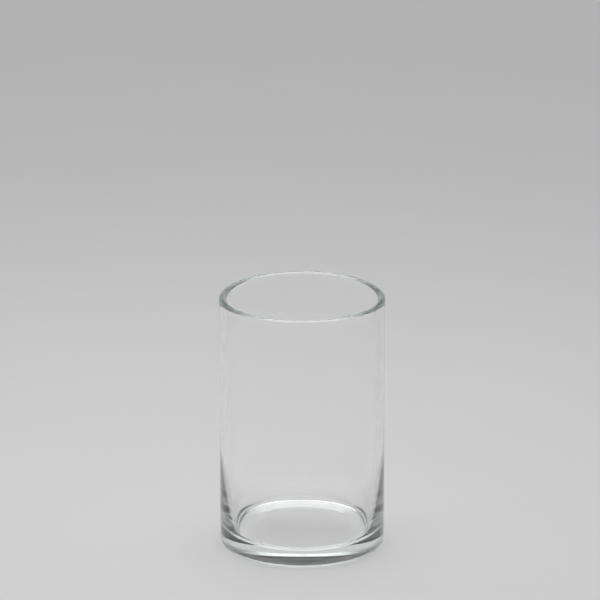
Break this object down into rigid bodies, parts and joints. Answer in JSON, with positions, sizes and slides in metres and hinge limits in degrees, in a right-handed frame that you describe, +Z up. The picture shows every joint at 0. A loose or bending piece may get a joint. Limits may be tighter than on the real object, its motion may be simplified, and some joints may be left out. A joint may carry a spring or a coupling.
{
  "type": "glass cylinder vase",
  "caption": "Plain clear glass cylinder vase with a thick base, a rounded inside corner, a wall that thickens towards the base and a melted round rim, for cut flowers.",
  "frame": {"origin": "middle of the plane that the vase stands on, on its axis", "axes": "+Z up along the vase's axis towards the mouth; X and Y lie in the plane it stands on and are interchangeable, because the vase is round"},
  "size_m": [0.1, 0.1, 0.157],
  "materials": {
    "clear_glass": "clear, fire polished, very slightly grey-green in the thick base"
  },
  "bodies": {
    "root": {"vase_body": "clear_glass"}
  },
  "joints": []
}
